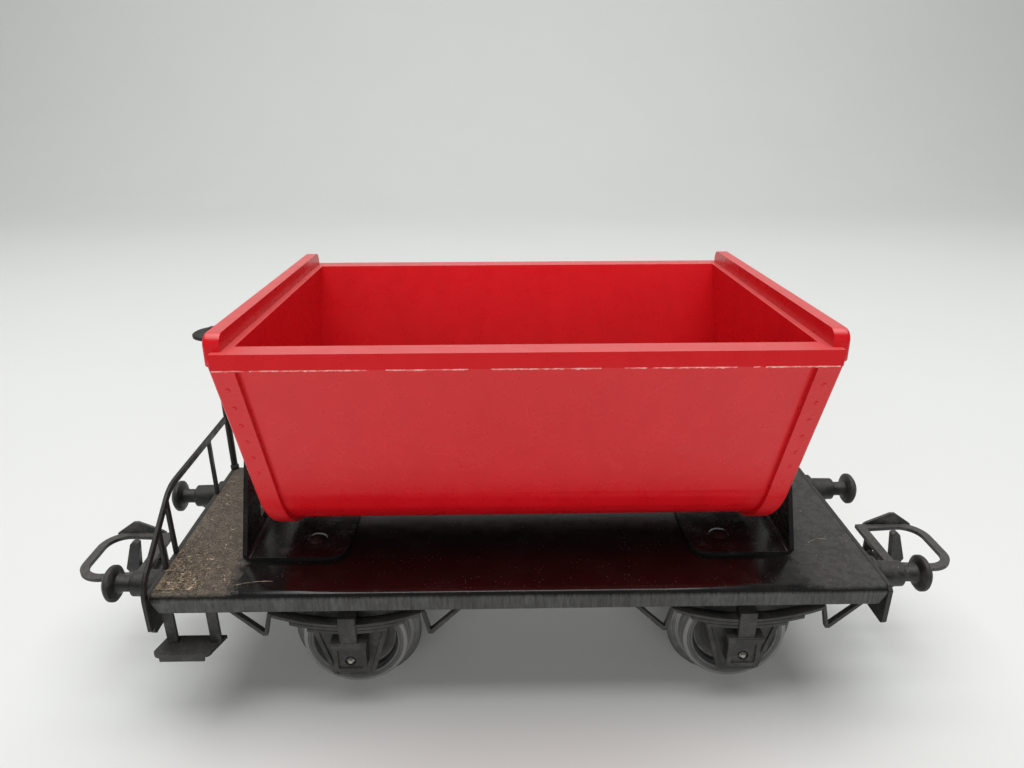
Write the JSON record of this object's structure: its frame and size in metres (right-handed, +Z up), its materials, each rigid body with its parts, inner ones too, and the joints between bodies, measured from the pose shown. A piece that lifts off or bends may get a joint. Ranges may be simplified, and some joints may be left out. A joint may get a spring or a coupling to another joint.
{
  "type": "tipping wagon",
  "caption": "Small-scale side-tipping wagon: sheet deck on two wheelsets, rocking U-shaped hopper on end brackets, buffers, loop couplings and a railed brake platform.",
  "frame": {"origin": "below the middle of the wagon, at the level of the lowest points of the wheel flanges", "axes": "+X along the wagon away from the brake platform, +Y across the wagon to the side with the brake column, +Z up"},
  "size_m": [0.1046, 0.0386, 0.0461],
  "materials": {
    "red_plastic": "moulded, semi-gloss, dusty",
    "black_sheet": "black paint, glossy, dusty and worn",
    "black_plastic": "moulded, matt, dusty",
    "wheel_metal": "turned, tarnished",
    "axle_steel": "turned, bright"
  },
  "bodies": {
    "wagon": {"axle_guard_left_far": "black_plastic", "axle_guard_left_near": "black_plastic", "axle_guard_right_far": "black_plastic", "axle_guard_right_near": "black_plastic", "axlebox_left_far": "black_plastic", "axlebox_left_near": "black_plastic", "axlebox_right_far": "black_plastic", "axlebox_right_near": "black_plastic", "bracket_left": "black_sheet", "bracket_right": "black_sheet", "bracket_rivets": "black_sheet", "brake_column": "black_plastic", "buffer_head_left_far": "black_plastic", "buffer_head_left_near": "black_plastic", "buffer_head_right_far": "black_plastic", "buffer_head_right_near": "black_plastic", "buffer_sleeve_left_far": "black_plastic", "buffer_sleeve_left_near": "black_plastic", "buffer_sleeve_right_far": "black_plastic", "buffer_sleeve_right_near": "black_plastic", "coupling_rivet_left": "black_plastic", "coupling_rivet_right": "black_plastic", "deck_plate": "black_sheet", "end_beam_left": "black_plastic", "end_beam_right": "black_plastic", "footstep_far": "black_plastic", "footstep_near": "black_plastic", "leaf_spring_left_far": "black_plastic", "leaf_spring_left_near": "black_plastic", "leaf_spring_right_far": "black_plastic", "leaf_spring_right_near": "black_plastic", "railing": "black_plastic", "spring_hangers_left_far": "black_plastic", "spring_hangers_left_near": "black_plastic", "spring_hangers_right_far": "black_plastic", "spring_hangers_right_near": "black_plastic", "underframe": "black_plastic"},
    "hopper": {"hopper": "red_plastic"},
    "wheelset_left": {"axle_left": "axle_steel", "wheel_left_near": "wheel_metal", "wheel_left_far": "wheel_metal"},
    "wheelset_right": {"axle_right": "axle_steel", "wheel_right_near": "wheel_metal", "wheel_right_far": "wheel_metal"},
    "coupling_left": {"drawbar_left": "black_plastic", "loop_pin_left": "axle_steel"},
    "coupling_right": {"drawbar_right": "black_plastic", "loop_pin_right": "axle_steel"},
    "loop_left": {"coupling_loop_left": "black_plastic"},
    "loop_right": {"coupling_loop_right": "black_plastic"},
    "handwheel": {"brake_handwheel": "black_plastic"}
  },
  "joints": [
    {"name": "hopper_tip", "type": "hinge", "parent": "wagon", "child": "hopper", "pos_m": [0, 0.0005, 0.031], "axis": [1, 0, 0], "range_deg": [-58.6, 61.4]},
    {"name": "wheelset_left_roll", "type": "hinge", "parent": "wagon", "child": "wheelset_left", "pos_m": [-0.0186, 0, 0.0072], "axis": [0, 1, 0], "continuous": true},
    {"name": "wheelset_right_roll", "type": "hinge", "parent": "wagon", "child": "wheelset_right", "pos_m": [0.0244, 0, 0.0072], "axis": [0, 1, 0], "continuous": true},
    {"name": "coupling_left_swivel", "type": "hinge", "parent": "wagon", "child": "coupling_left", "pos_m": [-0.0332, 0, 0.0101], "axis": [0, 0, 1], "range_deg": [-8, 8]},
    {"name": "coupling_right_swivel", "type": "hinge", "parent": "wagon", "child": "coupling_right", "pos_m": [0.0332, 0, 0.0101], "axis": [0, 0, 1], "range_deg": [-8, 8]},
    {"name": "loop_left_lift", "type": "hinge", "parent": "coupling_left", "child": "loop_left", "pos_m": [-0.0445, 0, 0.0101], "axis": [0, 1, 0], "range_deg": [0, 35]},
    {"name": "loop_right_lift", "type": "hinge", "parent": "coupling_right", "child": "loop_right", "pos_m": [0.0445, 0, 0.0101], "axis": [0, -1, 0], "range_deg": [0, 35]},
    {"name": "handwheel_turn", "type": "hinge", "parent": "wagon", "child": "handwheel", "pos_m": [-0.0384, 0.0133, 0.0358], "axis": [0, 0, 1], "continuous": true}
  ]
}
